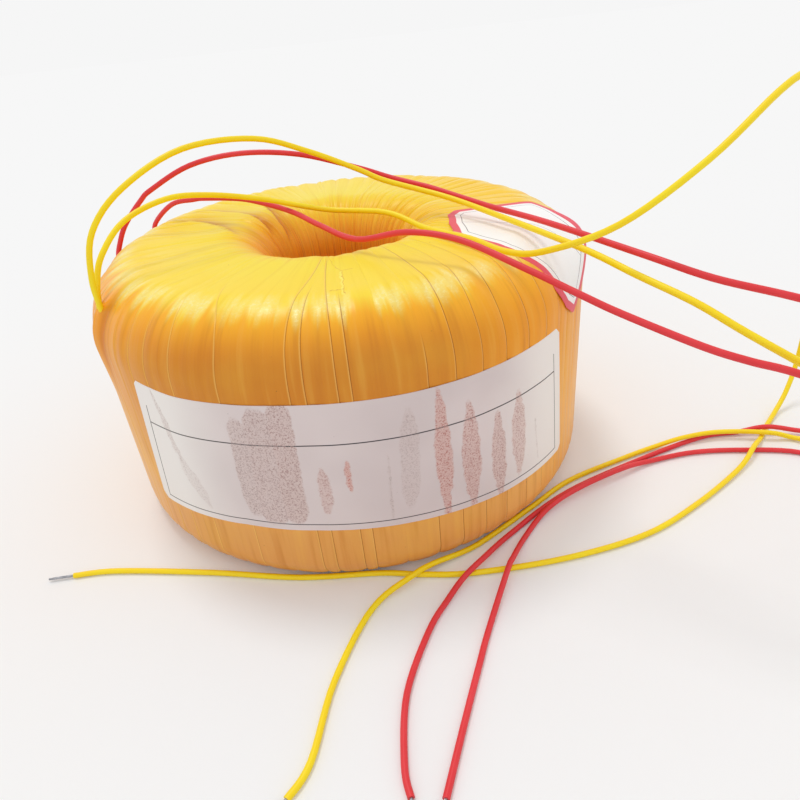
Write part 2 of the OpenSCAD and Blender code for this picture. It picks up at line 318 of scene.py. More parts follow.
def tape_finish():
    """Yellow polyester tape, lapped turn on turn: glossy, softly creased and dusty, with painted
    shade and painted highlights in its colour.

    Places along the section are as the ring's section gives them: the wall runs from 16 to 74,
    the shoulder to 105, the flat top to 131, the hole's mouth to 157 and the hole to 220."""
    tape = new_finish("outer_tape", {"IOR": 1.45, "Specular IOR Level": 0.22,
                                     "Coat Roughness": 0.2})
    past = tape.uv("lap")
    along = past.also("Y")
    before = tape.uv("far")
    around = before.also("Y")
    place = tape.place()
    x = tape.apart(place)
    right = x * (1 / (WALL_R * MM))
    front = x.also("Y") * (FACING[1] / (WALL_R * MM)) + right * FACING[0]
    lengthwise = tape.add("Mapping", {}, {
        "Vector": tape.add("CombineXYZ", {}, {"X": around, "Y": along}), "Scale": (1, 0.045, 1)})
    creases = tape.grain(lengthwise, 0.40, 3.0, 0.5)
    broad = tape.grain(lengthwise, 0.15, 2.0, 0.5)
    mottle = tape.grain(place, 45.0, 3.0, 0.5)

    # The colour of each zone, from the foot up the wall, over the top and down the hole. Besides
    # the tape's own yellow and orange it holds painted light: a paler foot, lit by the floor, and
    # a darker wall under the shoulder, as painted shade.
    uneven = (broad - 0.5) * 12.0 + (creases - 0.5) * 12.0
    zone = tape.ramp((along + uneven) * (1 / SECTION),
                     (0.00, shade(250, 174, 92)), (0.10, shade(253, 188, 98)),
                     (0.20, shade(252, 180, 74)), (0.29, shade(250, 166, 46)),
                     (0.35, shade(252, 166, 38)), (0.382, shade(254, 180, 42)),
                     (0.407, shade(254, 222, 60)), (0.54, shade(250, 226, 46)),
                     (0.585, shade(252, 208, 46)), (0.63, shade(254, 172, 46)),
                     (0.69, shade(252, 150, 44)), (0.93, shade(228, 118, 38)))
    # Painted shade: the front of the wall below the shoulder is painted darker, as it faces away
    # from the light.
    shaded_front_wall = front.step(0.62, 0.98) * along.band(38.0, 88.0, 7.0)
    body = tape.colour(shaded_front_wall * 0.75, zone, shade(204, 124, 40))
    # Painted shade: the front of the foot and of the low wall is painted darker as well.
    shaded_front_foot = front.step(0.5, 0.95) * (1 - along.step(24.0, 40.0))
    body = tape.colour(shaded_front_foot * 0.5, body, shade(214, 140, 72))
    right_top = right.step(0.1, 0.7) * along.band(86.0, 150.0, 10.0)
    body = tape.colour(right_top * 0.6, body, shade(252, 196, 66))
    left_mouth = right.step(-0.08, -0.36) * along.band(140.0, 260.0, 7.0)
    body = tape.colour(left_mouth * 0.6, body, shade(250, 158, 48))

    # Painted shade and painted light in the creases: darker and paler streaks, which the flat top
    # hardly shows. Then a broad mottle of the tape's own tone.
    flat = along.band(96.0, 150.0, 6.0)
    body = tape.colour(creases.step(0.48, 0.74) * (0.42 - flat * 0.3), body, shade(202, 118, 36))
    body = tape.colour(creases.step(0.46, 0.28) * (0.2 - flat * 0.18), body, shade(255, 200, 90))
    body = tape.colour(mottle.step(0.45, 0.8) * 0.16, body, shade(252, 206, 70))

    # A painted highlight: pale streaks with a fine sparkle along the crest of the shoulder, where
    # the coat is also raised.
    sparkle = tape.grain(place, 1300.0, 2.0, 0.7)
    painted_sheen = (along + (creases - 0.5) * 16.0).band(95.0, 101.5, 3.0) * broad.step(0.36, 0.56)
    painted_sheen = painted_sheen * (0.55 + sparkle.step(0.5, 0.62) * 0.45)
    body = tape.colour(painted_sheen * 0.62, body, shade(255, 246, 178))

    # Painted shadow beside the folds and beside the first yellow lead's ridge, painted light and
    # shade on the two sides of each lap's edge, the torn end and dust.
    body = tape.colour(tape.given("fold") * 0.9, body, shade(198, 92, 26))
    crisp = tape.given("crisp")
    # Painted highlight on each upper tape's cut edge, and painted shadow on the lower tape just
    # past it; the shadow is weaker on the front left and on the flat top.
    off_left = right.step(-0.45, -0.05).maths("MAXIMUM", front.step(0.1, -0.3))
    dark_side = (off_left * 0.6 + 0.24) * (1 - along.band(98.0, 140.0, 8.0) * 0.4)
    body = tape.colour((1 - before.step(0.10, 0.5)) * crisp * 0.5, body, shade(255, 206, 112))
    body = tape.colour((1 - past.step(0.05, 0.36)) * crisp * dark_side, body, shade(164, 90, 20))
    body = torn_end(tape, body, around, along, place)
    dust = tape.grain(place, 700.0, 2.0, 0.7)
    body = tape.colour(dust.step(0.76, 0.8) * 0.6, body, shade(120, 76, 30))

    calm = along.band(100.0, 150.0, 8.0) * front.step(-0.5, 0.0)
    relief = tape.relief((1 - calm * 0.85) * creases, 0.0005, 0.5)
    rough = 0.34 + (creases - 0.5) * 0.12 + (mottle - 0.5) * 0.2
    return tape.done(colour=body, roughness=rough, coat=mottle * 0.08 + painted_sheen * 0.3, normal=relief)


# Where the last turn's end is torn: round the ring, and from, bend and to along the section.
TORN_AT, TORN_FROM, TORN_BEND, TORN_TO = -133.1, 101.5, 119.0, 131.0


def torn_end(tape, body, around, along, place):
    """The last turn's ragged end, on the front of the crest: a thin painted shadow along the tear,
    with a painted highlight on its lip.
    """
    ragged = (tape.grain(place, 420.0, 3.0) - 0.5) * 3.2
    down = around + ragged - TORN_AT
    slanting = down + (along - TORN_BEND) * 0.57
    across = along + ragged
    tears = ((down, 0.0, along, TORN_FROM, TORN_BEND), (slanting, 0.0, along, TORN_BEND, TORN_TO),
             (across, 104.6, around, -138.3, -133.0), (across, 119.6, around, -133.3, -127.9))
    edge = strongest([line.band(middle - 0.13, middle + 0.13, 0.08) * run.band(low, high, 0.4)
                      for line, middle, run, low, high in tears])
    lip = down.band(-1.1, -0.2, 0.15) * along.band(TORN_FROM, TORN_BEND, 0.6)
    body = tape.colour(lip * 0.6, body, shade(255, 244, 120))
    return tape.colour(edge * 0.6, body, shade(206, 136, 28))


def insulation_finish(name, main, dark, pale):
    """Smooth extruded insulation with a little dirt on it."""
    sleeve = new_finish(name, {"IOR": 1.48, "Specular IOR Level": 0.45})
    place = sleeve.place()
    patches = sleeve.grain(place, 60.0, 2.0)
    specks = sleeve.grain(place, 1400.0, 2.0, 0.7)
    body = sleeve.colour(patches.step(0.4, 0.75) * 0.6, main, pale)
    body = sleeve.colour(specks.step(0.73, 0.78) * 0.55, body, dark)
    return sleeve.done(colour=body, roughness=0.34 + patches * 0.14,
                       normal=sleeve.relief(specks, 0.00005, 0.3))


def plain_finish(name, main, other, scale, roughness, metal=0.0, depth=0.0001):
    """A quiet finish of two shades, for what lies under the tape."""
    finish = new_finish(name, {"Metallic": metal})
    mottle = finish.grain(finish.place(), scale, 3.0)
    return finish.done(colour=finish.colour(mottle.step(0.3, 0.7), main, other),
                       roughness=roughness + mottle * 0.15,
                       normal=finish.relief(mottle, depth, 0.4))


def wound_finish(name, main, dark, pitch):
    """Close turns of wire round the ring, each a rounded rib. The pitch is in metres."""
    finish = new_finish(name, {"IOR": 1.5})
    x = finish.apart(finish.place())
    turns = (x.also("Y").maths("ARCTAN2", x) * (WALL_R * MM / pitch)).maths("FRACT")
    rib = (turns - 0.5) * (turns - 0.5) * 4.0
    # The grooves between the turns are painted darker: painted shade.
    return finish.done(colour=finish.colour(rib.step(0.5, 1.0), main, dark),
                       roughness=0.35 + rib * 0.2, normal=finish.relief(1 - rib, pitch / 3, 0.8))


# ---------------------------------------------------------------- the ring's section

ring_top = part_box("outer_wrap")[1]
OUTER_R = ring_top.x / MM
HEIGHT = ring_top.z / MM
HOLE_R = frame["record"]["mounts"][0]["dims"]["r_mm"]
# Its rounded corners: the outer two are the shoulder and the foot, the hole's the mouth and heel.
SHOULDER_R, MOUTH_R, FOOT_R, HEEL_R = 20.0, 17.0, 10.0, 8.0

# How far along the section, from the edge of the foot, each of its stretches ends.
FOOT_END = FOOT_R * math.pi / 2
WALL_END = FOOT_END + HEIGHT - FOOT_R - SHOULDER_R
SHOULDER_END = WALL_END + SHOULDER_R * math.pi / 2
TOP_END = SHOULDER_END + OUTER_R - SHOULDER_R - HOLE_R - MOUTH_R
MOUTH_END = TOP_END + MOUTH_R * math.pi / 2
HOLE_END = MOUTH_END + HEIGHT - MOUTH_R - HEEL_R
HEEL_END = HOLE_END + HEEL_R * math.pi / 2


def on_section(r, z):
    """How far (r, z) lies along the section, from the floor up the outer wall, over the top
    and down the hole, and the direction that it faces there."""
    if r > (OUTER_R + HOLE_R) / 2:
        if z < FOOT_R:
            if r < OUTER_R - FOOT_R:
                return r - OUTER_R + FOOT_R, (0.0, -1.0)
            a = math.atan2(r - OUTER_R + FOOT_R, FOOT_R - z)
            return FOOT_R * a, (math.sin(a), -math.cos(a))
        if z <= HEIGHT - SHOULDER_R:
            return FOOT_END + z - FOOT_R, (1.0, 0.0)
        if r > OUTER_R - SHOULDER_R:
            a = math.atan2(z - HEIGHT + SHOULDER_R, r - OUTER_R + SHOULDER_R)
            return WALL_END + SHOULDER_R * a, (math.cos(a), math.sin(a))
        return SHOULDER_END + OUTER_R - SHOULDER_R - r, (0.0, 1.0)
    if z > HEIGHT - MOUTH_R:
        if r > HOLE_R + MOUTH_R:
            return SHOULDER_END + OUTER_R - SHOULDER_R - r, (0.0, 1.0)
        a = math.atan2(HOLE_R + MOUTH_R - r, z - HEIGHT + MOUTH_R)
        return TOP_END + MOUTH_R * a, (-math.sin(a), math.cos(a))
    if z >= HEEL_R:
        return MOUTH_END + HEIGHT - MOUTH_R - z, (-1.0, 0.0)
    if r > HOLE_R + HEEL_R:
        return HEEL_END + r - HOLE_R - HEEL_R, (0.0, -1.0)
    a = math.atan2(HEEL_R - z, HOLE_R + HEEL_R - r)
    return HOLE_END + HEEL_R * a, (-math.cos(a), -math.sin(a))


def smooth(value, low, high):
    """0 below low, 1 above high, and smooth between them."""
    t = min(1.0, max(0.0, (value - low) / (high - low)))
    return t * t * (3 - 2 * t)


def hump(value, centre, width):
    """1 at the centre, and down to a third one width away."""
    return math.exp(-((value - centre) / width) ** 2)


# ---------------------------------------------------------------- outer tape

# The tape edges on the front: where each crosses the outer wall and how far it leans over by the
# mouth, in degrees, and how far along the section it can be made out, in mm.
FRONT_EDGES = [
    (-137.5, -9, 90), (-132.2, -9, 94), (-125.3, -9, 103), (-120.5, -11, 0), (-115.1, -14, 112),
    (-108.5, -6, 0), (-101.8, 4, 136), (-99.0, 2.5, 109), (-93.4, -2, 132), (-91.0, -1, 103),
    (-84.5, 1, 0), (-77.5, 2, 85), (-72.1, 3, 140), (-66.4, 7, 134), (-60.7, 9, 134),
    (-54.5, 9, 134), (-48.9, 9, 130), (-43.2, 8, 120), (-39.5, 7.5, 110), (-36.5, 7, 105),
    (-33.3, 7, 105), (-30.5, 7, 105)]
BACK_TURNS = 51     # how many turns share the rest of the ring
# Where the mesh has its columns across a turn: close together at its two edges.
COLUMNS = [0.0, 0.012, 0.07, 0.20, 0.35, 0.5, 0.65, 0.80, 0.93, 0.985]
LAP_STEP = 0.16     # how far the tape steps down at an edge
NARROWEST = 0.4     # the least that shows of a turn, in degrees
PROUDEST = 0.45     # the most that a turn may stand off the plain section
CLEARANCE = 0.13    # what is kept between this tape and the wrap below
# How far under the plain section the wrap below lies: place along the section, depth in mm.
ROOM = [(0, 1.2), (FOOT_END, 0.6), (WALL_END, 0.6), (WALL_END + 4, 0.42), (WALL_END + 12, 0.37),
        (WALL_END + 18, 0.52), (WALL_END + 24, 0.82), (SHOULDER_END, 1.3), (TOP_END, 1.3),
        (TOP_END + 13, 0.85), (TOP_END + 19, 0.76), (MOUTH_END, 0.9), (HOLE_END, 0.9)]

# Each turn has the angle of its edge, its lean, how slack it lies and how plain its edge is.
hand = random.Random(11)
edges = [edge for edge, lean, last in FRONT_EDGES]
leans = [lean for edge, lean, last in FRONT_EDGES]
front_end, front_again = edges[-1], edges[0] + 360
for turn in range(BACK_TURNS):
    share = (turn + 1 + hand.uniform(-0.28, 0.28)) / (BACK_TURNS + 1)
    edges.append(front_end + share * (front_again - front_end))
    leans.append(7 - 16 * share + hand.uniform(-0.8, 0.8))
TURNS = len(edges)
edges.append(front_again)
leans.append(leans[0])
slack = [hand.uniform(0.0, 1.0) for _ in range(TURNS)]
plain = [hand.uniform(0.2, 0.9) for _ in range(TURNS)]

# Folds where the tape runs askew into the hole: angle and place along the section.
FOLDS = [[(104, 160), (113, 156.5), (120, 158), (128, 163), (138, 181)],
         [(103, 148), (112, 144), (127, 143), (138, 146), (147, 151)],
         [(108, 129.5), (117, 125.5), (126, 126.5), (140, 134), (151, 137)]]


def lookup(value, table):
    """Reads value off a short table of pairs, straight between them."""
    if value <= table[0][0]:
        return table[0][1]
    for (x0, y0), (x1, y1) in zip(table, table[1:]):
        if value <= x1:
            return y0 + (y1 - y0) * (value - x0) / (x1 - x0)
    return table[-1][1]


def edge_angle(turn, s):
    """The angle of a tape's edge at s along the section: it leans over towards the mouth."""
    return edges[turn] + leans[turn] * smooth(s, 84, 136)


def edge_shows(turn, s):
    """How plainly a tape's edge can be made out at s."""
    turn %= TURNS
    hole = smooth(s, TOP_END + 8, MOUTH_END) * plain[turn] * 0.4
    if turn < len(FRONT_EDGES):
        last = FRONT_EDGES[turn][2]
        return max(hole, 1 - smooth(s, last - 8, last + 2))
    right = hump(edges[turn], -10, 34)
    level = smooth(s, 84, 100) * (1 - smooth(s, MOUTH_END - 6, MOUTH_END + 4))
    return max(hole, plain[turn] * (1 - level * (0.88 - 0.45 * right)))


def off_line(angle, line_angle, r):
    """How far an angle lies past a line, in mm round the ring."""
    return ((angle - line_angle + 180) % 360 - 180) * math.pi / 180 * r


def folds_at(angle, s, r):
    """How much a fold lifts the tape here, in mm, and how deep the painted shade beside it is."""
    rise, dark = 0.0, 0.0
    for fold in FOLDS:
        across = off_line(angle, lookup(s, fold), r)
        start, end = fold[0][0], fold[-1][0]
        fade = smooth(s, start, start + 8) * (1 - smooth(s, end - 6, end))
        rise = max(rise, fade * 0.8 * smooth(across, -0.8, 0.3) * (1 - smooth(across, 0.3, 8)))
        if across < 0.2:
            dark = max(dark, fade * math.exp(across / 3.2))
    # Painted shadow as well, just beside the ridge where the first yellow lead comes out.
    beside = off_line(angle, EXITS["yellow_1"], r)
    dark = max(dark, 0.55 * hump(beside, 3.6, 2.4) * smooth(s, 62, 80) * (1 - smooth(s, 88, 96)))
    return rise, dark


def lead_ridge(angle, s, r):
    """The tape stands up in a narrow ridge over each lead's joint, below where it comes out."""
    across = [hump(off_line(angle, exit_angle, r), 0, 1.9) for exit_angle in EXITS.values()]
    return 1.3 * max(across) * smooth(s, 52, 80) * (1 - smooth(s, 85, 91))


def ripple(where, around, along, seed=(0, 0)):
    """A soft random height. The two numbers say how quickly it changes round the ring, by the
    direction from the axis, and along the section, by the place in mm."""
    direction, s = where
    return noise.noise(direction * around + Vector((*seed, s * along)))


def tape_height(turn, t, s, angle, r):
    """How far the tape stands off the plain section, in mm. The turn is met t of the way across
    it, at s along the section."""
    a = math.radians(angle)
    where = Vector((math.cos(a), math.sin(a), 0)), s

    # Which stretch of the section this is, and which side of the ring.
    wall = smooth(s, 2, 14) * (1 - smooth(s, WALL_END - 4, WALL_END + 6))
    off_floor = smooth(s, 1.5, 9) * (1 - smooth(s, HOLE_END - 12, HEEL_END - 2))
    foot = hump(s, 5.5, 5)
    shoulder = hump(s, WALL_END + 16, 18)
    top = smooth(s, WALL_END - 8, SHOULDER_END - 6) * (1 - smooth(s, MOUTH_END, MOUTH_END + 12))
    mouth = hump(s, TOP_END + 16, 15)
    hole = smooth(s, TOP_END, MOUTH_END)
    back = smooth(math.sin(a), -0.1, 0.6)
    crest = hump(s, WALL_END + 24, 16) * back
    right = smooth(math.cos(math.radians(angle + 20)), 0.1, 0.8)
    rough_side = 0.3 + 0.7 * max(back, smooth(math.cos(a), 0.2, 0.8))
    settled = 1 - 0.85 * smooth(s, 97, 108) * (1 - rough_side)

    # The lie of the turn itself: its edge, its rounded middle and its slack.
    lap = (-LAP_STEP * (1 - t) * edge_shows(turn, s)
           * (1 + 0.6 * right - 0.65 * smooth(s, 86, 104)))
    round_middle = math.sin(math.pi * t) ** 0.7
    pillow = round_middle * (0.08 + 0.55 * crest + 0.10 * hole + 0.22 * right + 1.4 * foot) - 0.15
    hang = -0.30 * slack[turn] * (0.12 + 0.7 * crest + 0.3 * right + 1.6 * foot)

    # Its wrinkles, from the narrow ones to the broad.
    pleats = ripple(where, 38, 0.025, (3, 1)) * 0.28 * (
        0.1 + shoulder * settled + mouth * rough_side)
    puckers = ripple(where, 34, 0.02, (7, 2)) * 0.5 * mouth * rough_side
    creases = ripple(where, 17, 0.03) * 0.42 * settled * (0.25 + shoulder)
    lumps = ripple(where, 4, 0.02, (1, 5)) * 0.5 * (0.4 + top)

    total = lap + pillow + hang + creases + pleats + puckers + lumps
    total = min(total * off_floor + 0.12 * shoulder, PROUDEST)
    total = total * (1 - wall) + wall * min(total * 0.6, 0.0)
    deepest = CLEARANCE - lookup(s, ROOM)
    return max(total, deepest) + lead_ridge(angle, s, r) + folds_at(angle, s, r)[0]


# How many cuts each straight stretch of the section gets, by its length: the hole, the wall,
# the underside and the top.
STRAIGHTS = [(60, 70, 27), (50, 60, 16), (40, 50, 3), (20, 30, 12)]
# Its corners: radius from the axis, height, rounding and how many segments that has.
CORNERS = [(OUTER_R, 0, FOOT_R, 10), (OUTER_R, HEIGHT, SHOULDER_R, 18),
           (HOLE_R, HEIGHT, MOUTH_R, 16), (HOLE_R, 0, HEEL_R, 6)]
SAME_PLACE = 1e-5   # metres


def make_tape():
    """The last tape: the section is drawn, swept round, and each turn laid to its edges."""
    bpy.ops.object.select_all(action="DESELECT")
    bpy.ops.mesh.primitive_plane_add(
        size=1, location=((OUTER_R + HOLE_R) / 2 * MM, 0, HEIGHT / 2 * MM),
        rotation=(math.pi / 2, 0, 0))
    tape = bpy.context.active_object
    tape.name = "tape_wrap"
    tape.scale = ((OUTER_R - HOLE_R) * MM, HEIGHT * MM, 1)
    bpy.ops.object.transform_apply(location=True, rotation=True, scale=True)
    bpy.ops.object.mode_set(mode="EDIT")
    bpy.ops.mesh.select_mode(type="VERT")
    for x, z, radius, segments in CORNERS:
        shape = bmesh.from_edit_mesh(tape.data)
        for vertex in shape.verts:
            vertex.select = (vertex.co - Vector((x, 0, z)) * MM).length < SAME_PLACE
        shape.select_flush_mode()
        bmesh.update_edit_mesh(tape.data)
        bpy.ops.mesh.bevel(offset=radius * MM, offset_type="OFFSET", segments=segments,
                           profile=0.5, affect="VERTICES")
    bpy.ops.mesh.select_all(action="SELECT")
    bpy.ops.mesh.delete(type="ONLY_FACE")
    bpy.ops.mesh.select_mode(type="EDGE")
    for shortest, longest, cuts in STRAIGHTS:
        shape = bmesh.from_edit_mesh(tape.data)
        for edge in shape.edges:
            edge.select = shortest < edge.calc_length() / MM < longest
        bmesh.update_edit_mesh(tape.data)
        bpy.ops.mesh.subdivide(number_cuts=cuts)
    bpy.ops.mesh.select_all(action="SELECT")
    steps = TURNS * len(COLUMNS)
    bpy.ops.mesh.spin(steps=steps, angle=2 * math.pi, center=(0, 0, 0), axis=(0, 0, 1),
                      use_auto_merge=True)
    bpy.ops.mesh.select_all(action="SELECT")
    bpy.ops.mesh.remove_doubles(threshold=SAME_PLACE / 10)
    bpy.ops.mesh.normals_make_consistent(inside=False)
    bpy.ops.object.mode_set(mode="OBJECT")
    lay_turns(tape.data, steps)
    bpy.ops.object.shade_smooth()
    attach(tape, "root")
    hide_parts("outer_wrap")
    wear(tape, tape_finish())


def lay_turns(mesh, steps):
    """Moves each column of the swept mesh to its place in its turn of tape. It notes how plainly
    the edge shows and how deep the shade of a fold is, and gives the mesh two UV maps: how far a
    point lies past its turn's edge and along the section, and before the next turn's edge and
    round the ring, in mm."""
    crisp = mesh.attributes.new("crisp", "FLOAT", "POINT")
    fold = mesh.attributes.new("fold", "FLOAT", "POINT")
    spots = []
    for vertex in mesh.vertices:
        x, y, z = vertex.co / MM
        r = math.hypot(x, y)
        column = round(math.atan2(y, x) / (2 * math.pi) * steps) % steps
        turn, k = divmod(column, len(COLUMNS))
        t = COLUMNS[k]
        s, (out, up) = on_section(r, z)
        first = edge_angle(turn, s)
        second = max(edge_angle(turn + 1, s), first + NARROWEST)
        angle = first + t * (second - first)
        wide = math.radians(second - first) * r
        height = tape_height(turn, t, s, angle, r)
        crisp.data[vertex.index].value = edge_shows(turn + (t > 0.5), s)
        fold.data[vertex.index].value = folds_at(angle, s, r)[1]
        r, z = r + out * height, max(0.0, z + up * height)
        a = math.radians(angle)
        vertex.co = Vector((r * math.cos(a), r * math.sin(a), z)) * MM
        spots.append((column, t, wide, s, angle))
    lap = mesh.uv_layers.new(name="lap")
    far = mesh.uv_layers.new(name="far")
    for face in mesh.polygons:
        columns = {spots[v][0] for v in face.vertices}
        lowest = steps - 1 if columns == {0, steps - 1} else min(columns)
        for loop in face.loop_indices:
            column, t, wide, s, angle = spots[mesh.loops[loop].vertex_index]
            if column != lowest and t == 0:   # the far side of a turn is the next one's edge
                t = 1.0
                angle += 360 if column == 0 else 0
            lap.data[loop].uv = (t * wide, s)
            far.data[loop].uv = ((1 - t) * wide, math.radians(angle) * WALL_R)


make_tape()

# ---------------------------------------------------------------- labels

PAPER = 0.15        # thickness of the label and of the sticker
LABEL_W, LABEL_H = 145.4, 43.5
LABEL_PROUD = 0.12  # how far its face stands off the wall
# Height of its top and of its foot: how far round it, as a share, and mm over the floor.
LABEL_TOP = [(0, 66.2), (0.12, 65.0), (0.35, 65.4), (0.6, 64.6), (0.75, 64.5), (1, 65.2)]
LABEL_FOOT = [(0, 20.6), (0.1, 21.4), (0.25, 23.0), (0.4, 22.8), (0.6, 21.2), (0.8, 19.2),
              (1, 17.8)]
# Angle of its left and of its right side: at the foot, and how far that turns up to the top.
LABEL_LEFT, LABEL_RIGHT = (-141.8, 4.5), (-40.2, -3.6)
# Its clipped corners: which way each lies, and how much is cut off.
LABEL_CORNERS = [(-1, -1, 2.2), (1, -1, 1.6), (-1, 1, 1.2), (1, 1, 2.0)]


def make_label():
    """The rating label: a flat sheet with clipped corners, wrapped round the wall."""
    bpy.ops.object.select_all(action="DESELECT")
    bpy.ops.mesh.primitive_grid_add(x_subdivisions=96, y_subdivisions=28, size=1)
    label = bpy.context.active_object
    label.name = "label_sheet"
    label.scale = (LABEL_W * MM, LABEL_H * MM, 1)
    bpy.ops.object.transform_apply(scale=True)
    bpy.ops.object.mode_set(mode="EDIT")
    for x, y, clip in LABEL_CORNERS:
        bpy.ops.mesh.select_all(action="SELECT")
        bpy.ops.mesh.bisect(
            plane_co=(x * (LABEL_W / 2 - clip) * MM, y * LABEL_H / 2 * MM, 0),
            plane_no=(x, y, 0), clear_outer=True)
    bpy.ops.object.mode_set(mode="OBJECT")
    for vertex in label.data.vertices:
        u, v = vertex.co.x / MM / LABEL_W + 0.5, vertex.co.y / MM / LABEL_H + 0.5
        left, right = (side + turn * v for side, turn in (LABEL_LEFT, LABEL_RIGHT))
        low, high = lookup(u, LABEL_FOOT), lookup(u, LABEL_TOP)
        angle = math.radians(left + (right - left) * u)
        r = OUTER_R + LABEL_PROUD + 0.10 * noise.noise(Vector((u * 16, v * 1.2, 3.0)))
        z = min(low + (high - low) * v, HEIGHT - SHOULDER_R)
        vertex.co = Vector((r * math.cos(angle), r * math.sin(angle), z)) * MM
    thicken(label, "rating_label")
    wear(label, label_finish())


def thicken(sheet, node):
    """Gives a sheet of paper its thickness and fixes it to the part."""
    bpy.ops.object.select_all(action="DESELECT")
    sheet.select_set(True)
    bpy.context.view_layer.objects.active = sheet
    solid = sheet.modifiers.new("thickness", "SOLIDIFY")
    solid.thickness = PAPER * MM
    solid.offset = -1
    bpy.ops.object.modifier_apply(modifier=solid.name)
    bpy.ops.object.shade_smooth_by_angle(angle=math.radians(40))
    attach(sheet, "root")
    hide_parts(node)


# Rubbed patches on the label, in mm from its lower left corner: the top and the foot of each, half
# its width, how strong and how red it is, and how much of its length tapers at each end.
STAINS = [
    ((8, 43), (16.5, 18), 1.7, 0.55, 0.1, 0.6), ((15, 22), (24, 4), 2.6, 0.32, 0.1, 0.4),
    ((38.2, 39), (40.5, 5), 3.3, 0.8, 0.15, 0.14), ((44.4, 42), (46, 2), 4.2, 0.85, 0.2, 0.1),
    ((51.2, 44.5), (52.4, 3), 3.5, 0.95, 0.25, 0.1),
    ((61, 23), (61.5, 6.5), 1.9, 0.7, 0.5, 0.3), ((68, 25), (68.3, 14), 0.9, 1.0, 1.0, 0.3),
    ((79.4, 25), (79, 3), 0.4, 0.7, 0.0, 0.1), ((86.5, 39), (84.5, 6), 2.8, 0.42, 0.1, 0.25),
    ((95.4, 43), (95.2, -1), 2.7, 1.0, 0.8, 0.5), ((104.5, 36), (103.5, 0), 3.3, 0.9, 0.65, 0.45),
    ((114, 29), (113.4, -1), 2.7, 0.9, 0.5, 0.4), ((122.6, 32), (121.6, 4), 3.1, 0.7, 0.6, 0.4),
    ((129.8, 20), (130.6, 5), 0.3, 0.6, 0.0, 0.1)]
# The printed frame: how far in from the sides, and where its lines lie over the lower edge.
FRAME_IN, FRAME_FOOT, FRAME_RULE, FRAME_TOP = 4.0, 2.1, 30.4, 36.3


def label_finish():
    """White film with a printed frame, rubbed and stained in upright streaks."""
    paper = new_finish("label_paper", {"IOR": 1.45})
    u = paper.uv("UVMap")
    x, y = u * LABEL_W, u.also("Y") * LABEL_H
    place = paper.place()
    broad = paper.grain(place, 28.0, 2.0)
    body = paper.colour(broad.step(0.35, 0.7) * 0.5, shade(226, 212, 210), shade(204, 189, 188))
    # Painted light: the label's two ends, which face further round from the front than its middle,
    # are painted paler.
    ends = 1 - x.band(26.0, 124.0, 16.0)
    body = paper.colour(ends * 0.8, body, shade(254, 250, 244))

    wobble = (paper.grain(place, 190.0, 3.0) - 0.5) * 3.4
    speckle = paper.grain(place, 2000.0, 3.0, 0.8)
    smudge = paper.grain(place, 420.0, 3.0, 0.6)
    patches, reds = [], []
    for (x1, y1), (x0, y0), half, strong, red, taper in STAINS:
        up = (y - y0 + wobble) * (1 / (y1 - y0))
        middle = up * (x1 - x0) + x0
        off = (x - middle + wobble * min(0.5, half * 0.25)).maths("ABSOLUTE")
        swell = up.step(-0.1, taper) * (1 - up.step(1 - taper, 1.1)) * (0.8 * half) + 0.2 * half
        patch = (swell - off + (smudge - 0.5) * 1.6).step(-0.25, 0.45) * up.band(0.0, 1.0, 0.04)
        patches.append(patch * strong)
        reds.append(patch * strong * red)
    stain, redness = strongest(patches), strongest(reds)
    grit = speckle.step(0.5, 0.6)
    body = paper.colour(stain * 0.42, body, shade(200, 180, 172))
    body = paper.colour(redness * 0.35, body, shade(232, 150, 130))
    body = paper.colour(stain * grit * 0.6, body, shade(126, 100, 96))
    body = paper.colour(redness * grit * 0.6, body, shade(206, 104, 92))

    inside = x.band(FRAME_IN, LABEL_W - FRAME_IN, 0.02)
    sides = (x.band(FRAME_IN - 0.15, FRAME_IN + 0.15, 0.06)
             + x.band(LABEL_W - FRAME_IN - 0.15, LABEL_W - FRAME_IN + 0.15, 0.06))
    lines = strongest([inside * y.band(FRAME_RULE, FRAME_RULE + 0.36, 0.06),
                       inside * y.band(FRAME_FOOT, FRAME_FOOT + 0.3, 0.06),
                       sides * y.band(FRAME_FOOT, FRAME_TOP, 0.06)])
    worn = 1 - stain * speckle.step(0.4, 0.6) * 0.8
    body = paper.colour(lines * worn, body, shade(58, 54, 56))
    fleck = paper.grain(place, 700.0, 2.0, 0.6)
    body = paper.colour(fleck.step(0.76, 0.8) * 0.6, body, shade(130, 110, 105))
    return paper.done(colour=body, roughness=0.5 + broad * 0.15,
                      normal=paper.relief(speckle, 0.00003, 0.3))


make_label()

# The sticker's outline: distance out along the section from the crest, and angle.
STICKER_LEFT = [(5, -17), (7.5, -30), (14, -43), (22, -46), (33, -48), (40, -47), (46, -45),
                (53, -44), (60, -41), (64, -37)]
STICKER_RIGHT = [(5, -16), (7, -9), (16, -7), (34, -5), (40, -10), (53, -23), (64, -36)]
STICKER_IN, STICKER_OUT = 5.0, 64.0
STICKER_MIDDLE = -27   # angle of the line that it is measured from, in degrees
STICKER_PROUD = 0.5    # how far its face stands off the tape
CORNER_UP = 3.4        # and how much more at the corner that has come up
CREST_R = 35.0         # how far the crest is from the axis


def over_shoulder(s, lift):
    """Radius and height of a point s out from the crest, lifted that far off the tape."""
    flat = OUTER_R - SHOULDER_R - CREST_R
    a = min(math.pi / 2, max(0.0, (s - flat) / SHOULDER_R))
    drop = max(0.0, s - flat - SHOULDER_R * math.pi / 2)
    r = min(CREST_R + s, OUTER_R - SHOULDER_R) + (SHOULDER_R + lift) * math.sin(a)
    return r, HEIGHT - SHOULDER_R + (SHOULDER_R + lift) * math.cos(a) - drop


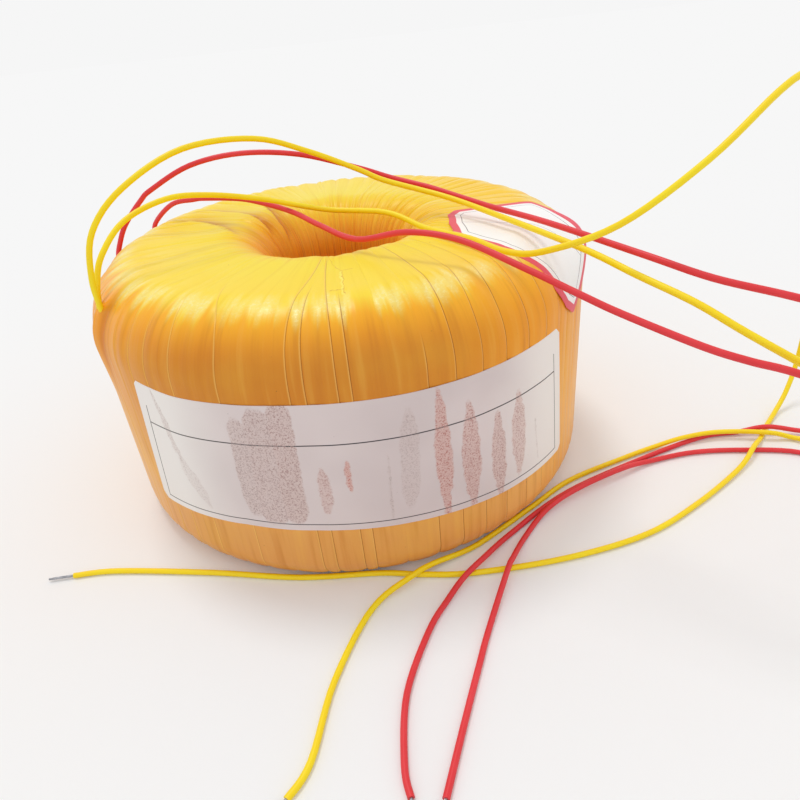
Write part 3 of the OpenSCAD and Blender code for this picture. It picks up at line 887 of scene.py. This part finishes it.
def flat_place(s, angle):
    """A point of the sticker as it lay before it was stuck on, in mm."""
    return Vector((math.radians(angle - STICKER_MIDDLE) * over_shoulder(s, 0)[0], s))


def from_rim(point, outline):
    """How far a point lies inside a closed outline."""
    gaps = []
    for a, b in zip(outline, outline[1:] + outline[:1]):
        t = min(1.0, max(0.0, (point - a).dot(b - a) / (b - a).length_squared))
        gaps.append((point - a - (b - a) * t).length)
    return min(gaps)


def make_sticker():
    """The inspection sticker: it lies over the right shoulder, and its outer corner is up."""
    bpy.ops.object.select_all(action="DESELECT")
    bpy.ops.mesh.primitive_grid_add(x_subdivisions=44, y_subdivisions=72, size=1)
    sticker = bpy.context.active_object
    sticker.name = "sticker_sheet"
    outline = [flat_place(s, a) for s, a in STICKER_LEFT + STICKER_RIGHT[::-1]]
    rim = sticker.data.attributes.new("rim", "FLOAT", "POINT")
    rule = sticker.data.attributes.new("rule", "FLOAT", "POINT")
    for vertex in sticker.data.vertices:
        u, v = vertex.co.x + 0.5, 0.5 - vertex.co.y
        s = STICKER_IN + (STICKER_OUT - STICKER_IN) * v
        left, right = lookup(s, STICKER_LEFT), lookup(s, STICKER_RIGHT)
        angle = left + (right - left) * u
        spot = flat_place(s, angle)
        rim.data[vertex.index].value = from_rim(spot, outline)
        rule.data[vertex.index].value = spot.x
        lift = STICKER_PROUD + CORNER_UP * smooth(u, 0.5, 1.0) * hump(s, 48.5, 6.5)
        r, z = over_shoulder(s, lift)
        a = math.radians(angle)
        vertex.co = Vector((r * math.cos(a), r * math.sin(a), z)) * MM
    thicken(sticker, "inspection_sticker")
    wear(sticker, sticker_finish())


def sticker_finish():
    """White film with a red border and a ruled line, left blank."""
    paper = new_finish("sticker_paper", {"IOR": 1.45})
    rim = paper.given("rim")
    tone = paper.grain(paper.place(), 40.0, 2.0)
    body = paper.colour(tone, shade(255, 255, 252), shade(251, 249, 247))
    ruled = paper.given("rule").band(-0.5, -0.25, 0.08) * rim.step(4.4, 4.5)
    body = paper.colour(ruled * 0.6, body, shade(110, 104, 112))
    body = paper.colour(rim.band(4.1, 4.35, 0.08) * 0.8, body, shade(96, 84, 90))
    body = paper.colour(1 - rim.step(2.3, 2.45), body, shade(236, 84, 100))
    return paper.done(colour=body, roughness=0.4 + tone * 0.15,
                      normal=paper.relief(tone, 0.0002, 0.3))


make_sticker()

# ---------------------------------------------------------------- bare ends

WIRE_R, BARE = 0.45, 8.0
AROUND = 6         # strands round the middle one
RINGS = 16         # along a strand
TWIST = 0.5        # of the strands, in radians a millimetre
HELD = 0.6         # how far they start inside the insulation


def make_strand(k):
    """One strand, twisted along with the others, that narrows towards its end."""
    strand_r = WIRE_R / 3
    away = 2 * strand_r if k < AROUND else 0
    bpy.ops.object.select_all(action="DESELECT")
    bpy.ops.mesh.primitive_circle_add(vertices=8, radius=strand_r * MM, fill_type="NGON",
                                      location=(away * MM, 0, 0))
    strand = bpy.context.active_object
    bpy.ops.object.transform_apply(location=True)
    bpy.ops.object.mode_set(mode="EDIT")
    for _ in range(RINGS):
        bpy.ops.mesh.extrude_region_move(
            TRANSFORM_OT_translate={"value": (0, 0, (BARE + HELD) / RINGS * MM)})
    bpy.ops.mesh.select_all(action="SELECT")
    bpy.ops.mesh.normals_make_consistent(inside=False)
    bpy.ops.object.mode_set(mode="OBJECT")
    for vertex in strand.data.vertices:
        z = vertex.co.z / MM
        turn = k * 2 * math.pi / AROUND + z * TWIST
        squeeze = 1 - 0.25 * smooth(z, BARE - 1.5, BARE + HELD)
        x, y = vertex.co.x * squeeze, vertex.co.y * squeeze
        vertex.co.x = x * math.cos(turn) - y * math.sin(turn)
        vertex.co.y = x * math.sin(turn) + y * math.cos(turn)
    return strand


def make_bare_end(name, line):
    """Seven tinned strands, twisted, that stick out of the cut insulation."""
    strands = [make_strand(k) for k in range(AROUND + 1)]
    bpy.ops.object.select_all(action="DESELECT")
    for strand in strands:
        strand.select_set(True)
    bpy.context.view_layer.objects.active = strands[0]
    bpy.ops.object.join()
    wire = bpy.context.active_object
    wire.name = "bare_" + name
    ahead = (line[-1] - line[-4]).normalized()
    wire.matrix_world = (Matrix.Translation(line[-1] - ahead * HELD * MM)
                         @ ahead.to_track_quat("Z", "Y").to_matrix().to_4x4())
    bpy.ops.object.transform_apply(location=True, rotation=True, scale=True)
    bpy.ops.object.shade_smooth_by_angle(angle=math.radians(50))
    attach(wire, "root")
    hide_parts("conductor_" + name)
    wear(wire, tinned)
    return wire


tinned = plain_finish("tinned_wire", shade(196, 196, 200), shade(150, 150, 156), 900.0, 0.28,
                      metal=0.9, depth=0.00003)
yellow = insulation_finish("yellow_lead", shade(255, 222, 8), shade(110, 74, 10),
                           shade(255, 236, 30))
red = insulation_finish("red_lead", shade(228, 52, 58), shade(110, 20, 30), shade(240, 70, 78))
for name, (lead, line, length) in leads.items():
    wire = make_bare_end(name, line)
    wear(lead, yellow if name.startswith("yellow") else red)

# ---------------------------------------------------------------- what lies under the tape

under = {
    "core_half_front": plain_finish("core_steel", shade(120, 122, 128), shade(92, 94, 100), 300.0,
                                    0.35, metal=0.9),
    "gap_spacer_left": plain_finish("gap_board", shade(206, 180, 120), shade(186, 158, 96), 200.0,
                                    0.6),
    "core_insulation": plain_finish("inner_tape", shade(214, 176, 70), shade(196, 152, 54), 120.0,
                                    0.35),
    "primary_a_winding": wound_finish("primary_wire", shade(190, 106, 40), shade(96, 44, 16),
                                      0.0004),
    "secondary_winding": wound_finish("secondary_wire", shade(168, 88, 38), shade(80, 36, 14),
                                      0.0016),
    "splice_yellow_1": plain_finish("sleeve", shade(232, 228, 214), shade(206, 200, 182), 900.0,
                                    0.7),
}
same = {"core_half_back": "core_half_front", "gap_spacer_right": "gap_spacer_left",
        "barrier_tape_inner": "core_insulation", "barrier_tape_outer": "core_insulation",
        "under_wrap": "core_insulation", "primary_b_winding": "primary_a_winding",
        "splice_yellow_2": "splice_yellow_1", "splice_red_1": "splice_yellow_1",
        "splice_red_2": "splice_yellow_1"}
for node, material in under.items():
    wear(frame["nodes"][node], material)
for node, like in same.items():
    wear(frame["nodes"][node], under[like])

# ---------------------------------------------------------------- floor and light

PALE = 0.9216   # how bright the background looks
SOFT = 0.80     # how much light comes from all round
FLOOR = 0.84    # how much light the floor gives back
GLOW = 0.07     # and what the camera sees of it on top of that
CEILING, CEILING_SPREAD = 0.74, math.radians(15)
CEILING_SIDE = Vector((-0.14, 0.30, 1.0))   # where its light comes from

bpy.ops.object.select_all(action="DESELECT")
bpy.ops.mesh.primitive_plane_add(size=12, location=(0, 0, 0))
floor = bpy.context.active_object
floor.name = "floor"
board = new_finish("floor")
seen = board.add("LightPath", {}, {}, "Is Camera Ray")
diffuse = board.add("BsdfDiffuse", {}, {"Color": (FLOOR, FLOOR, FLOOR, 1)})
glow = board.add("Emission", {}, {"Color": (1, 1, 1, 1), "Strength": GLOW})
both = board.add("AddShader", {}, {0: diffuse, 1: glow})
surface = board.add("MixShader", {}, {0: seen, 1: diffuse, 2: both})
board.add("OutputMaterial", {}, {"Surface": surface})
wear(floor, board.holder)

world = bpy.data.worlds.new("room")
bpy.context.scene.world = world
room = Finish(world)
ray = room.add("LightPath", {}, {}, "Is Camera Ray")
looks = (ray + ray.also("Is Glossy Ray") + ray.also("Is Transmission Ray")).maths("MINIMUM", 1.0)
light = room.add("Background", {}, {"Color": (1, 1, 1, 1),
                                    "Strength": looks * (PALE - SOFT) + SOFT})
room.add("OutputWorld", {}, {"Surface": light})

ceiling_data = bpy.data.lights.new("ceiling", "SUN")
ceiling_data.energy = CEILING
ceiling_data.angle = CEILING_SPREAD
ceiling = bpy.data.objects.new("ceiling", ceiling_data)
bpy.context.scene.collection.objects.link(ceiling)
ceiling.rotation_euler = CEILING_SIDE.to_track_quat("Z", "Y").to_euler()

bpy.context.scene.view_settings.view_transform = "Standard"

bpy.context.view_layer.update()
